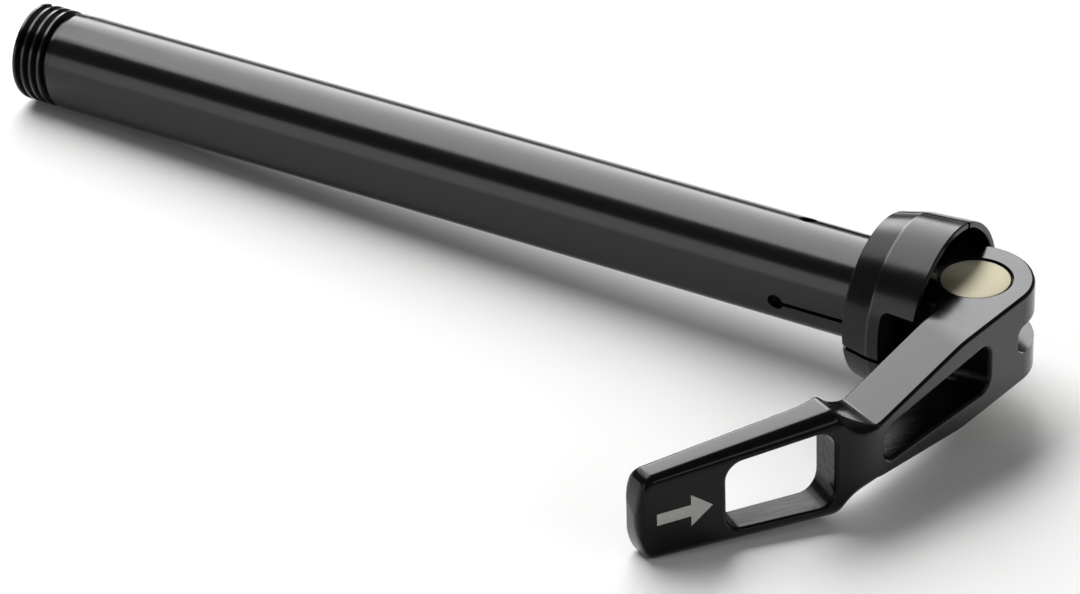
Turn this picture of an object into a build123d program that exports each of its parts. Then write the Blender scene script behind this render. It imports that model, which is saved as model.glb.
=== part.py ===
from build123d import *
from math import asin, atan2, cos, degrees, hypot, radians, sin
import os

# Bicycle thru axle with a cam lever and an expanding head, for a front fork.
# All lengths are millimetres and all angles are degrees.
# X runs along the axle, with X = 0 at the face of the head that seats on the fork.
# The thread is at negative X and the lever at positive X. Z is up, along the lever's pivot pin.
# The lever is closed and points towards negative Y.

# Axle tube
TUBE_RADIUS = 7.5
LENGTH_UNDER_HEAD = 148.0
BORE_RADIUS = 5.5
THREAD_LENGTH = 7.2
THREAD_DEPTH = 0.92
THREAD_END_CHAMFER = 0.5
RELIEF_LENGTH = 2.0
RELIEF_DEPTH = 0.08
BORE_MOUTH_CHAMFER = 0.6

# Head: a thin walled cup in one piece with the tube
SEAT_RADIUS = 12.0
CONE_LENGTH = 4.4
CONE_RADIUS = 13.0
RIM_RADIUS = 13.4
HEAD_LENGTH = 11.5
CUP_WALL = 0.95
CUP_FLOOR = 2.0
FLOOR_CORNER = 0.8
SEAT_EDGE_CHAMFER = 0.25
RIM_EDGE_CHAMFER = 0.12
ROD_HOLE_RADIUS = 4.0

# Saw slits that let the head and the tube's end spread, and the slot that takes the open lever
SLIT_COUNT = 3
SLIT_ANGLE = -169.5
SLIT_WIDTH = 0.7
SLIT_END_HOLE_RADIUS = 1.25
SLIT_LENGTH = 13.05
SLOT_WIDTH = 15.3
SLOT_FLOOR = 6.25
SLOT_CORNER = 1.1

# Conical seat in the bore, and the wedge that the lever pulls into it
SEAT_CONE_LENGTH = 8.0
SEAT_CONE_START = -12.5
WEDGE_CLEARANCE = 0.04
WEDGE_BODY_LENGTH = 7.5
WEDGE_NOSE_GAP = 1.6

# Draw bolt, with a socket for an adjusting key that reaches it through the tube
BOLT_RADIUS = 2.0
BOLT_RUNNING_CLEARANCE = 0.05
BOLT_HEAD_RADIUS = 3.4
BOLT_HEAD_LENGTH = 3.6
BOLT_HEAD_SUNK = 4.1
BOLT_HEAD_CLEARANCE = 0.2
BOLT_TIP_CHAMFER = 0.4
BOLT_BEYOND_PIN_CENTRE = 3.6
SOCKET_ACROSS_FLATS = 2.5
SOCKET_DEPTH = 2.2

# Cam seat, which turns on the cup's floor, and the release spring
SEAT_DISC_CLEARANCE = 0.05
SEAT_CHANNEL_DEPTH = 1.1
SEAT_CHANNEL_SIDE_GAP = 0.15
CAM_GAP = 0.03
SPRING_WIRE = 0.75
SPRING_MEAN_RADIUS = 3.05
SPRING_TURNS = 3.0
SPRING_POCKET_DEPTH = 1.6
SPRING_POCKET_RADIUS = 3.8
SPRING_END_GAP = 0.02

# Pivot pin
PIVOT_X = 14.77
PIN_RADIUS = 4.94
PIN_HALF_LENGTH = 6.86
PIN_EDGE_CHAMFER = 0.12
PIN_RUNNING_CLEARANCE = 0.03
EYE_CHAMFER = 0.4

# Lever seen along the pin, measured from the pin's axis
CAM_CLOSED_RADIUS = 9.5
CAM_LIFT = 1.2
OPEN_ANGLE = 144.0
HEEL_CORNER = (-9.5, -6.2)
HEEL_CORNER_RADIUS = 3.5
CROTCH_CORNER = (-1.05, -8.7)
CROTCH_RADIUS = 1.2
OUTER_KNEE = (3.36, -37.3)
OUTER_KNEE_RADIUS = 12.8
OUTER_TIP = (-16.4, -65.85)
INNER_KNEE = (-4.9, -39.7)
INNER_KNEE_RADIUS = 12.0
TIP_THICKNESS = 4.2
TIP_CORNER_RADIUS = 1.0

# Lever seen from its outer side: half heights along the direction in which the valley is cut
VALLEY_TURN = 27.0
CHEEK_HALF_HEIGHT = 7.0
TAPER_START = 11.5
TAPER_START_RADIUS = 20.0
NECK_PLACE = 30.1
NECK_HALF_HEIGHT = 4.35
VALLEY_MIDDLE = (33.2, 5.7)
SHOULDER_PLACE = 36.2
SHOULDER_HALF_HEIGHT = 7.95
SHOULDER_RADIUS = 1.8
TIP_PLACE = 64.0
TIP_HALF_HEIGHT = 5.9
TIP_BULGE = 2.1
TIP_ROUND = 2.2

# Cuts in the lever
CHEEK_GAP = 4.6
CHEEK_GAP_END = -2.6
CHEEK_GAP_END_RADIUS = 1.6
ARM_WINDOW_START = -9.3
ARM_WINDOW_END = -34.0
ARM_WINDOW_START_HALF = 3.7
ARM_WINDOW_END_HALF = 2.6
ARM_WINDOW_ROUND = 2.0
GRIP_TURN = 34.6
GRIP_WINDOW_START = 5.3
GRIP_WINDOW_LENGTH = 16.2
GRIP_WINDOW_START_HALF = 6.15
GRIP_WINDOW_END_HALF = 5.25
GRIP_WINDOW_ROUND = 2.6

# A depth that passes right through any piece, and how far a cut runs past a face
THROUGH = 60.0
OVERRUN = 1.0

# Arcs in which the cam's curve is laid out
CAM_ARCS = 4

# Places that follow from the sizes above
THREAD_ROOT_RADIUS = TUBE_RADIUS - THREAD_DEPTH
THREAD_INNER_X = THREAD_LENGTH - LENGTH_UNDER_HEAD
SEAT_CONE_END = SEAT_CONE_START + SEAT_CONE_LENGTH
SEAT_CONE_SLOPE = (BORE_RADIUS - ROD_HOLE_RADIUS) / SEAT_CONE_LENGTH
WEDGE_BODY_RADIUS = BORE_RADIUS - WEDGE_CLEARANCE
WEDGE_SHOULDER_X = SEAT_CONE_START
WEDGE_NOSE_X = SEAT_CONE_END - WEDGE_NOSE_GAP
WEDGE_TAIL_X = WEDGE_SHOULDER_X - WEDGE_BODY_LENGTH
BOLT_HEAD_X = WEDGE_TAIL_X + BOLT_HEAD_SUNK
BOLT_HOLE_RADIUS = BOLT_RADIUS + BOLT_RUNNING_CLEARANCE
SPRING_POCKET_END = CUP_FLOOR + SPRING_POCKET_DEPTH
CAM_SEAT_TOP = PIVOT_X - CAM_CLOSED_RADIUS - CAM_GAP
CHANNEL_HALF_WIDTH = CHEEK_HALF_HEIGHT + SEAT_CHANNEL_SIDE_GAP
EYE_RADIUS = PIN_RADIUS + PIN_RUNNING_CLEARANCE
CAM_FALL = CAM_LIFT / radians(OPEN_ANGLE)


def turned(profile_points):
    """A solid of revolution about the axle from (x, radius) points."""
    face = make_face(Polyline(*profile_points, close=True))
    return revolve(face, Axis.X)


def ring(inner, outer, start, end):
    """A plain ring about the axle between two places along it."""
    return turned([(start, inner), (end, inner), (end, outer), (start, outer)])


def about_axle(shape, angle):
    """The shape turned about the axle, from the Y direction by an angle towards Z."""
    return Rot(X=angle) * shape


def block(x_range, y_range, z_range):
    """A box between two places along each direction."""
    (x0, x1), (y0, y1), (z0, z1) = x_range, y_range, z_range
    size = Box(x1 - x0, y1 - y0, z1 - z0)
    return Pos((x0 + x1) / 2, (y0 + y1) / 2, (z0 + z1) / 2) * size


def head_radius(x):
    """The outer radius of the head at a place between its seat and its rim."""
    if x <= CONE_LENGTH:
        return SEAT_RADIUS + (CONE_RADIUS - SEAT_RADIUS) * x / CONE_LENGTH
    share = (x - CONE_LENGTH) / (HEAD_LENGTH - CONE_LENGTH)
    return CONE_RADIUS + (RIM_RADIUS - CONE_RADIUS) * share


def make_axle():
    """Tube, thread core, conical seat and slit cup head, turned from one bar."""
    end = -LENGTH_UNDER_HEAD
    relief_radius = TUBE_RADIUS - RELIEF_DEPTH
    relief_end = THREAD_INNER_X + RELIEF_LENGTH
    wall_at_floor = head_radius(CUP_FLOOR) - CUP_WALL
    outline = [
        (end, BORE_RADIUS + BORE_MOUTH_CHAMFER),
        (end, THREAD_ROOT_RADIUS - THREAD_END_CHAMFER),
        (end + THREAD_END_CHAMFER, THREAD_ROOT_RADIUS),
        (THREAD_INNER_X, THREAD_ROOT_RADIUS),
        (THREAD_INNER_X, relief_radius),
        (relief_end, relief_radius),
        (relief_end, TUBE_RADIUS),
        (0, TUBE_RADIUS),
        (0, SEAT_RADIUS - SEAT_EDGE_CHAMFER),
        (SEAT_EDGE_CHAMFER, head_radius(SEAT_EDGE_CHAMFER)),
        (CONE_LENGTH, CONE_RADIUS),
        (HEAD_LENGTH - RIM_EDGE_CHAMFER, head_radius(HEAD_LENGTH - RIM_EDGE_CHAMFER)),
        (HEAD_LENGTH, RIM_RADIUS - RIM_EDGE_CHAMFER),
        (HEAD_LENGTH, RIM_RADIUS - CUP_WALL),
        (CONE_LENGTH, CONE_RADIUS - CUP_WALL),
        (CUP_FLOOR + FLOOR_CORNER, wall_at_floor),
        (CUP_FLOOR, wall_at_floor - FLOOR_CORNER),
        (CUP_FLOOR, ROD_HOLE_RADIUS),
        (SEAT_CONE_END, ROD_HOLE_RADIUS),
        (SEAT_CONE_START, BORE_RADIUS),
        (end + BORE_MOUTH_CHAMFER, BORE_RADIUS),
    ]
    axle = turned(outline)
    for index in range(SLIT_COUNT):
        angle = SLIT_ANGLE + 360 / SLIT_COUNT * index
        axle -= about_axle(make_slit(), angle)
    axle -= about_axle(make_drive_slot(), SLIT_ANGLE)
    return axle


def make_slit():
    """A saw cut out along Y from the axis, with the drilled hole at its inner end."""
    cut = block(
        (-SLIT_LENGTH, HEAD_LENGTH + OVERRUN),
        (0, RIM_RADIUS + OVERRUN),
        (-SLIT_WIDTH / 2, SLIT_WIDTH / 2),
    )
    hole = Cylinder(SLIT_END_HOLE_RADIUS, RIM_RADIUS, align=(Align.CENTER, Align.CENTER, Align.MIN))
    return cut + Pos(X=-SLIT_LENGTH) * Rot(X=-90) * hole


def make_drive_slot():
    """The slot in the cup's rim, one slit along its middle, that holds the open lever."""
    height = HEAD_LENGTH + OVERRUN - SLOT_FLOOR
    cut = Box(height, RIM_RADIUS, SLOT_WIDTH, align=(Align.MIN, Align.MIN, Align.CENTER))
    floor_edges = cut.edges().filter_by(Axis.Y).group_by(Axis.X)[0]
    return Pos(X=SLOT_FLOOR) * fillet(floor_edges, SLOT_CORNER)


def wedge_profile():
    """The wedge's outer line as (x, radius) points."""
    nose_radius = WEDGE_BODY_RADIUS - SEAT_CONE_SLOPE * (WEDGE_NOSE_X - WEDGE_SHOULDER_X)
    return [
        (WEDGE_TAIL_X, BOLT_HOLE_RADIUS),
        (WEDGE_TAIL_X, WEDGE_BODY_RADIUS),
        (WEDGE_SHOULDER_X, WEDGE_BODY_RADIUS),
        (WEDGE_NOSE_X, nose_radius),
        (WEDGE_NOSE_X, BOLT_HOLE_RADIUS),
    ]


def make_wedge():
    """The cone that spreads the slit end of the tube, with a counterbore for the bolt's head."""
    radius = BOLT_HEAD_RADIUS + BOLT_HEAD_CLEARANCE
    counterbore = ring(0, radius, WEDGE_TAIL_X - OVERRUN, BOLT_HEAD_X)
    return turned(wedge_profile()) - counterbore


def make_draw_bolt():
    """The bolt that joins the wedge to the pivot pin, with its hexagon socket."""
    tip_x = PIVOT_X + BOLT_BEYOND_PIN_CENTRE
    head_start = BOLT_HEAD_X - BOLT_HEAD_LENGTH
    bolt = turned([
        (head_start, 0),
        (head_start, BOLT_HEAD_RADIUS),
        (BOLT_HEAD_X, BOLT_HEAD_RADIUS),
        (BOLT_HEAD_X, BOLT_RADIUS),
        (tip_x - BOLT_TIP_CHAMFER, BOLT_RADIUS),
        (tip_x, BOLT_RADIUS - BOLT_TIP_CHAMFER),
        (tip_x, 0),
    ])
    mouth = Plane(origin=(head_start, 0, 0), z_dir=(1, 0, 0))
    hexagon = mouth * RegularPolygon(SOCKET_ACROSS_FLATS / 2, 6, major_radius=False)
    return bolt - extrude(hexagon, SOCKET_DEPTH)


def make_cam_seat():
    """The disc that the lever's cams press on, with a channel between two guiding sides."""
    flat_radius = head_radius(CUP_FLOOR) - CUP_WALL - FLOOR_CORNER
    disc_radius = flat_radius - SEAT_DISC_CLEARANCE
    disc = ring(BOLT_HOLE_RADIUS, disc_radius, CUP_FLOOR, CAM_SEAT_TOP + SEAT_CHANNEL_DEPTH)
    channel = block(
        (CAM_SEAT_TOP, CAM_SEAT_TOP + SEAT_CHANNEL_DEPTH + OVERRUN),
        (-disc_radius - OVERRUN, disc_radius + OVERRUN),
        (-CHANNEL_HALF_WIDTH, CHANNEL_HALF_WIDTH),
    )
    spring_pocket = ring(0, SPRING_POCKET_RADIUS, CUP_FLOOR - OVERRUN, SPRING_POCKET_END)
    return disc - channel - spring_pocket


def make_release_spring():
    """The square wire spring round the bolt that frees the wedge when the lever is opened."""
    start = WEDGE_NOSE_X + SPRING_WIRE / 2 + SPRING_END_GAP
    end = SPRING_POCKET_END - SPRING_WIRE / 2 - SPRING_END_GAP
    length = end - start
    path = Helix(length / SPRING_TURNS, length, SPRING_MEAN_RADIUS)
    section = Plane(path @ 0, x_dir=(1, 0, 0), z_dir=path % 0) * Rectangle(SPRING_WIRE, SPRING_WIRE)
    return Pos(X=start) * Rot(Y=90) * sweep(section, path=path, is_frenet=True)


def make_pivot_pin():
    """The barrel across the lever's cheeks, with the cross hole that the bolt screws into."""
    pin = Cylinder(PIN_RADIUS, 2 * PIN_HALF_LENGTH)
    pin = chamfer(pin.edges().filter_by(GeomType.CIRCLE), PIN_EDGE_CHAMFER)
    cross_hole = Rot(Y=90) * Cylinder(BOLT_HOLE_RADIUS, THROUGH)
    return Pos(X=PIVOT_X) * (pin - cross_hole)


def cam_point(angle):
    """A point of the cam, which keeps a flat seat in touch as the lever opens by an angle.

    The distance from the pin to the seat falls evenly with the angle.
    """
    reach = CAM_CLOSED_RADIUS - CAM_FALL * radians(angle)
    turn = radians(angle)
    across = -reach * cos(turn) - CAM_FALL * sin(turn)
    along = reach * sin(turn) - CAM_FALL * cos(turn)
    return (across, along)


def cam_arc(index):
    """One of the arcs through points of the cam."""
    step = OPEN_ANGLE / CAM_ARCS
    start = step * index
    return ThreePointArc(cam_point(start), cam_point(start + step / 2), cam_point(start + step))


def lever_outline():
    """The lever's outline seen along the pin."""
    cam_end = cam_point(OPEN_ANGLE)
    boss_radius = hypot(*cam_end)
    cam = [cam_arc(index) for index in range(CAM_ARCS)]
    # the outer line leaves the boss where it is tangent to it
    knee_distance = hypot(*OUTER_KNEE)
    knee_angle = degrees(atan2(OUTER_KNEE[1], OUTER_KNEE[0]))
    tangent_angle = knee_angle + 90 - degrees(asin(boss_radius / knee_distance))
    tangent = (boss_radius * cos(radians(tangent_angle)), boss_radius * sin(radians(tangent_angle)))
    start_angle = degrees(atan2(cam_end[1], cam_end[0]))
    boss = CenterArc((0, 0), boss_radius, start_angle, tangent_angle - start_angle)
    # the tip's end is square to the outer line
    run = hypot(OUTER_TIP[0] - OUTER_KNEE[0], OUTER_TIP[1] - OUTER_KNEE[1])
    along = ((OUTER_TIP[0] - OUTER_KNEE[0]) / run, (OUTER_TIP[1] - OUTER_KNEE[1]) / run)
    inner_tip = (OUTER_TIP[0] + TIP_THICKNESS * along[1], OUTER_TIP[1] - TIP_THICKNESS * along[0])
    rest = FilletPolyline(
        tangent,
        OUTER_KNEE,
        OUTER_TIP,
        inner_tip,
        INNER_KNEE,
        CROTCH_CORNER,
        HEEL_CORNER,
        cam_point(0),
        radius=[
            OUTER_KNEE_RADIUS,
            TIP_CORNER_RADIUS,
            TIP_CORNER_RADIUS,
            INNER_KNEE_RADIUS,
            CROTCH_RADIUS,
            HEEL_CORNER_RADIUS,
        ],
    )
    return make_face([*cam, boss, *rest.edges()])


def lever_side_plane():
    """The plane of the lever's side outline: along the lever, then up."""
    turn = radians(VALLEY_TURN)
    return Plane(origin=(0, 0, 0), x_dir=(-sin(turn), -cos(turn), 0), z_dir=(-cos(turn), sin(turn), 0))


def lever_side_outline():
    """The lever's outline seen from its outer side: fork, valley at the neck, grip and tip."""
    fork_end = -2 * CAM_CLOSED_RADIUS
    fork = FilletPolyline(
        (fork_end, CHEEK_HALF_HEIGHT),
        (TAPER_START, CHEEK_HALF_HEIGHT),
        (NECK_PLACE, NECK_HALF_HEIGHT),
        radius=TAPER_START_RADIUS,
    )
    shoulder = (SHOULDER_PLACE, SHOULDER_HALF_HEIGHT)
    valley = ThreePointArc((NECK_PLACE, NECK_HALF_HEIGHT), VALLEY_MIDDLE, shoulder)
    grip = Line(shoulder, (TIP_PLACE, TIP_HALF_HEIGHT))
    tip_corner, tip_middle = (TIP_PLACE, TIP_HALF_HEIGHT), (TIP_PLACE + TIP_BULGE, 0)
    tip = ThreePointArc(tip_corner, tip_middle, (TIP_PLACE, -TIP_HALF_HEIGHT))
    top = [*fork.edges(), valley, grip]
    bottom = [edge.mirror(Plane.XZ) for edge in top]
    back = Line((fork_end, CHEEK_HALF_HEIGHT), (fork_end, -CHEEK_HALF_HEIGHT))
    face = make_face([*top, tip, *bottom, back])
    face = fillet(corners_at(face, SHOULDER_PLACE), SHOULDER_RADIUS)
    return fillet(corners_at(face, TIP_PLACE), TIP_ROUND)


def corners_at(face, place):
    """The corners of a flat outline at one place along it."""
    return [corner for corner in face.vertices() if abs(corner.X - place) < 0.01]


def make_arm_window():
    """The long window between the cheeks, cut across the arm."""
    plane = Plane(origin=(-THROUGH / 2, 0, 0), x_dir=(0, -1, 0), z_dir=(1, 0, 0))
    start, end = -ARM_WINDOW_START, -ARM_WINDOW_END
    outline = make_face(Polyline(
        (start, ARM_WINDOW_START_HALF),
        (end, ARM_WINDOW_END_HALF),
        (end, -ARM_WINDOW_END_HALF),
        (start, -ARM_WINDOW_START_HALF),
        close=True,
    ))
    outline = fillet(outline.vertices(), ARM_WINDOW_ROUND)
    return extrude(plane * outline, THROUGH)


def make_grip_window():
    """The finger window in the grip, cut square to the grip's outer face."""
    turn = radians(GRIP_TURN)
    along = (-sin(turn), -cos(turn), 0)
    knee = Vector(OUTER_KNEE[0], OUTER_KNEE[1], 0)
    plane = Plane(origin=knee, x_dir=along, z_dir=(-cos(turn), sin(turn), 0))
    end = GRIP_WINDOW_START + GRIP_WINDOW_LENGTH
    outline = make_face(Polyline(
        (GRIP_WINDOW_START, GRIP_WINDOW_START_HALF),
        (end, GRIP_WINDOW_END_HALF),
        (end, -GRIP_WINDOW_END_HALF),
        (GRIP_WINDOW_START, -GRIP_WINDOW_START_HALF),
        close=True,
    ))
    outline = fillet(outline.vertices(), GRIP_WINDOW_ROUND)
    return extrude(plane * outline, THROUGH / 2, both=True)


def make_cheek_gap():
    """The gap between the cheeks, open round the pin on every side that the bolt passes."""
    gap = Box(THROUGH, THROUGH, CHEEK_GAP, align=(Align.CENTER, Align.MIN, Align.CENTER))
    end_edges = gap.edges().filter_by(Axis.X).group_by(Axis.Y)[0]
    return Pos(Y=CHEEK_GAP_END) * fillet(end_edges, CHEEK_GAP_END_RADIUS)


def is_eye_rim(edge):
    """True for the two circles where the pin's eye meets the outer faces of the cheeks."""
    return abs(edge.radius - EYE_RADIUS) < 0.01 and abs(edge.center().Z) > CHEEK_GAP


def make_lever():
    """The forged lever: a fork with cams, a waisted neck with a valley, and a grip with a window."""
    plan = extrude(lever_outline(), THROUGH / 2, both=True)
    side = extrude(lever_side_plane() * lever_side_outline(), THROUGH, both=True)
    lever = plan & side
    lever -= make_arm_window()
    lever -= make_grip_window()
    lever -= make_cheek_gap()
    lever -= Cylinder(EYE_RADIUS, THROUGH)
    eye_edges = lever.edges().filter_by(GeomType.CIRCLE).filter_by(lambda edge: is_eye_rim(edge))
    lever = chamfer(eye_edges, EYE_CHAMFER)
    return Pos(X=PIVOT_X) * lever


PIECES = {
    "axle": make_axle(),
    "lever": make_lever(),
    "pivot_pin": make_pivot_pin(),
    "draw_bolt": make_draw_bolt(),
    "expander_wedge": make_wedge(),
    "release_spring": make_release_spring(),
    "cam_seat": make_cam_seat(),
}

os.makedirs("parts", exist_ok=True)
for node, shape in PIECES.items():
    export_step(shape, f"parts/{node}.step")
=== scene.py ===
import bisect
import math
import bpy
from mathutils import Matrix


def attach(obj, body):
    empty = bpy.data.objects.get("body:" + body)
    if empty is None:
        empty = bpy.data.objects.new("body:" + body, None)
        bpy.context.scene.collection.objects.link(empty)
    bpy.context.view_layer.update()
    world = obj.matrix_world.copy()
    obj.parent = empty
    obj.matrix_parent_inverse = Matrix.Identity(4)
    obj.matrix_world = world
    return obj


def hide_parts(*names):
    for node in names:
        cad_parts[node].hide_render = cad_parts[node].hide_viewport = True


bl_info = {
    "name": "Bicycle Thru Axle Looks",
    "version": (1, 0, 0),
    "blender": (4, 5, 0),
    "location": "View3D > Sidebar > Thru Axle",
    "description": "Dresses the packed bicycle thru axle with smooth meshes, finishes, light and a camera",
    "category": "Object",
}

import bmesh
import bpy
from mathutils import Matrix, Vector

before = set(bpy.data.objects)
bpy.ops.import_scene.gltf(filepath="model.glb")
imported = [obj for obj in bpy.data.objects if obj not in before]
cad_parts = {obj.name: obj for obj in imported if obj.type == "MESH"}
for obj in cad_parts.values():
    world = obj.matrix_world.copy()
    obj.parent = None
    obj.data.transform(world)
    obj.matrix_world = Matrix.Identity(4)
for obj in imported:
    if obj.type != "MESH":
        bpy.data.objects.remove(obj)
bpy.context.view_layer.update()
MM = 0.001

# Facets round the turned pieces, the holes and the thread, and steps of rounded edges and arcs
ROUND_FACETS = 256
BOLT_FACETS = 128
WEDGE_FACETS = 160
SEAT_FACETS = 192
EYE_FACETS = 192
HOLE_FACETS = 96
SLIT_HOLE_FACETS = 48
THREAD_FACETS = 128
EDGE_STEPS = 6
ARC_STEPS = 14
SHORT_ARC_STEPS = 10
CAM_STEPS = 48
TAPER_STEPS = 8
TIP_STEPS = 12

# Corners closer than MERGE are one, and a radius under ON_AXIS is none. Cutters end OVERRUN past a
# piece, or reach CLEAR times as far as it.
MERGE = MM / 1000
ON_AXIS = MM / 100
OVERRUN = 20 * MM
CLEAR = 1.2


# Values a user would change


def size(name, description, millimetres):
    """A length property, written in millimetres and kept in metres."""
    return bpy.props.FloatProperty(
        name=name, description=description, default=millimetres * MM, unit="LENGTH", precision=5
    )


def angle(name, description, degrees):
    """An angle property, written in degrees."""
    return bpy.props.FloatProperty(
        name=name, description=description, default=math.radians(degrees), subtype="ANGLE"
    )


def linear(hex_colour):
    """The linear colour of an sRGB hex value such as #D8D2BC."""
    channels = [int(hex_colour[i : i + 2], 16) / 255 for i in (1, 3, 5)]
    return tuple(c / 12.92 if c <= 0.04045 else ((c + 0.055) / 1.055) ** 2.4 for c in channels)


def colour(name, description, hex_colour):
    """A colour property, written as sRGB hex."""
    return bpy.props.FloatVectorProperty(
        name=name, description=description, default=linear(hex_colour), subtype="COLOR", size=3, min=0, max=1
    )


def number(name, description, value):
    """A plain number property."""
    return bpy.props.FloatProperty(name=name, description=description, default=value)


class AxleSizes(bpy.types.PropertyGroup):
    """Sizes of the turned axle: the same as the solid's."""

    tube_radius: size("Tube radius", "Outer radius of the tube", 7.5)
    bore_radius: size("Bore radius", "Inner radius of the tube", 5.5)
    tube_length: size("Length under head", "From the head's seat to the thread's end", 148.0)
    thread_length: size("Thread length", "Length of the thread's core", 7.2)
    core_radius: size("Core radius", "Radius of the thread's core", 6.58)
    relief_length: size("Relief length", "Length of the shallow relief behind the thread", 2.0)
    relief_depth: size("Relief depth", "Depth of the shallow relief", 0.08)
    end_chamfer: size("End chamfer", "Chamfer at the thread's end", 0.5)
    mouth_chamfer: size("Mouth chamfer", "Chamfer at the bore's mouth", 0.6)
    seat_radius: size("Seat radius", "Outer radius of the head at its seat", 12.0)
    cone_length: size("Cone length", "Length of the head's first cone", 4.4)
    cone_radius: size("Cone radius", "Radius at the crease between the head's cones", 13.0)
    rim_radius: size("Rim radius", "Outer radius at the cup's rim", 13.4)
    head_length: size("Head length", "From the seat to the rim", 11.5)
    cup_wall: size("Cup wall", "Wall thickness of the cup", 0.95)
    cup_floor: size("Cup floor", "Thickness of the cup's floor", 2.0)
    floor_corner: size("Floor corner", "Bevel in the corner of the cup's floor", 0.8)
    rod_hole_radius: size("Rod hole radius", "Hole in the floor for the bolt and spring", 4.0)
    edge_softness: size("Edge softness", "Broken edges of the head", 0.14)
    cone_seat_start: size("Cone seat start", "Where the wedge's seat starts in the bore", -12.5)
    cone_seat_end: size("Cone seat end", "Where the wedge's seat ends in the bore", -4.5)
    slit_width: size("Slit width", "Width of the saw slits", 0.7)
    slit_length: size("Slit length", "From the seat to the hole that ends a slit", 13.05)
    slit_hole_radius: size("Slit hole radius", "Radius of the hole that ends a slit", 1.25)
    slit_angle: angle("Slit angle", "Angle of the slit in the drive slot", -169.5)
    slot_width: size("Slot width", "Width of the drive slot", 15.3)
    slot_floor: size("Slot floor", "Where the drive slot ends", 6.25)
    slot_corner: size("Slot corner", "Radius of the drive slot's corners", 1.1)


class ThreadSizes(bpy.types.PropertyGroup):
    """Sizes of the screw ridge wound on the thread's core."""

    pitch: size("Pitch", "Distance from ridge to ridge", 1.5)
    root_width: size("Root width", "Width of the ridge at its foot", 1.34)
    crest_width: size("Crest width", "Width of the ridge at its top", 0.4)
    crest_radius: size("Crest radius", "Outer radius of the thread", 7.48)
    start: size("Start", "Middle of the ridge at the axle's end", -147.3)
    start_angle: angle("Start angle", "Where round the axle the ridge begins", 150.0)
    length: size("Length", "Length of the ridge along the axle", 5.8)


class LeverSizes(bpy.types.PropertyGroup):
    """Sizes of the lever: the same as the solid's, with its edges softened."""

    pivot: size("Pivot", "Where the pin's axis stands along the axle", 14.77)
    cam_radius: size("Cam radius", "From the pin to the seat with the lever closed", 9.5)
    cam_lift: size("Cam lift", "How far the cam lets the pin back", 1.2)
    open_angle: angle("Open angle", "How far the lever opens", 144.0)
    eye_radius: size("Eye radius", "Radius of the eye round the pin", 4.97)
    eye_chamfer: size("Eye chamfer", "Chamfer round the eye", 0.4)
    cheek_gap: size("Cheek gap", "Gap between the cheeks", 4.6)
    cheek_gap_end: size("Cheek gap end", "Where the gap ends along the lever", -2.6)
    cheek_gap_corner: size("Cheek gap corner", "Radius of the gap's corners", 1.6)
    crisp_edge: size("Crisp edge", "Rounding of the edges in general", 0.5)
    soft_edge: size("Soft edge", "Rounding of the grip's outer edges", 1.25)
    knee_edge: size("Knee edge", "Rounding of the outer edges where the grip bends off", 2.2)
    inner_edge: size("Inner edge", "Rounding of the grip's inner edges", 0.8)
    tip_edge: size("Tip edge", "Rounding of the edges round the tip", 1.25)
    window_edge: size("Window edge", "Rounding of the windows' edges", 0.6)


class InnerSizes(bpy.types.PropertyGroup):
    """Sizes of the pin, the bolt, the wedge and the cam seat."""

    pin_radius: size("Pin radius", "Radius of the pivot pin", 4.94)
    pin_half: size("Pin half length", "Half the pin's length", 6.86)
    pin_edge: size("Pin edge", "Rounding of the pin's ends", 0.2)
    hole_radius: size("Bolt hole radius", "Radius of the holes that the bolt passes", 2.05)
    bolt_radius: size("Bolt radius", "Radius of the bolt's shank", 2.0)
    bolt_tip: size("Bolt tip", "Where the bolt's tip stands", 18.37)
    bolt_head_radius: size("Bolt head radius", "Radius of the bolt's head", 3.4)
    bolt_head_start: size("Bolt head start", "Open end of the bolt's head", -19.5)
    bolt_head_length: size("Bolt head length", "Length of the bolt's head", 3.6)
    socket_flats: size("Socket across flats", "Hexagon socket for the key", 2.5)
    socket_depth: size("Socket depth", "Depth of the socket", 2.2)
    wedge_radius: size("Wedge radius", "Radius of the wedge's body", 5.46)
    wedge_tail: size("Wedge tail", "Where the wedge ends in the tube", -20.0)
    wedge_shoulder: size("Wedge shoulder", "Where the wedge's cone starts", -12.5)
    wedge_nose: size("Wedge nose", "Where the wedge's cone ends", -6.1)
    wedge_nose_radius: size("Wedge nose radius", "Radius of the wedge's nose", 4.26)
    counterbore: size("Counterbore", "Radius of the room for the bolt's head", 3.6)
    seat_radius: size("Seat disc radius", "Radius of the cam seat", 10.65)
    seat_top: size("Seat top", "Face that the cams press on", 5.24)
    channel_depth: size("Channel depth", "Height of the cam seat's sides", 1.1)
    channel_half: size("Channel half width", "Half the channel's width", 7.15)
    pocket_radius: size("Spring pocket radius", "Radius of the spring's pocket", 3.8)
    pocket_depth: size("Spring pocket depth", "Depth of the spring's pocket", 1.6)
    edge: size("Broken edge", "Broken edges of turned pieces", 0.1)


class ArrowSizes(bpy.types.PropertyGroup):
    """Sizes of the etched arrow on the grip's outer face."""

    start: size("Arrow start", "From the knee to the arrow's tail, along the grip", 23.6)
    length: size("Arrow length", "Length of the arrow", 8.2)
    head_length: size("Head length", "Length of the arrow's head", 3.2)
    head_half: size("Head half width", "Half the width of the arrow's head", 2.5)
    shaft_half: size("Shaft half width", "Half the width of the arrow's shaft", 0.9)


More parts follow.
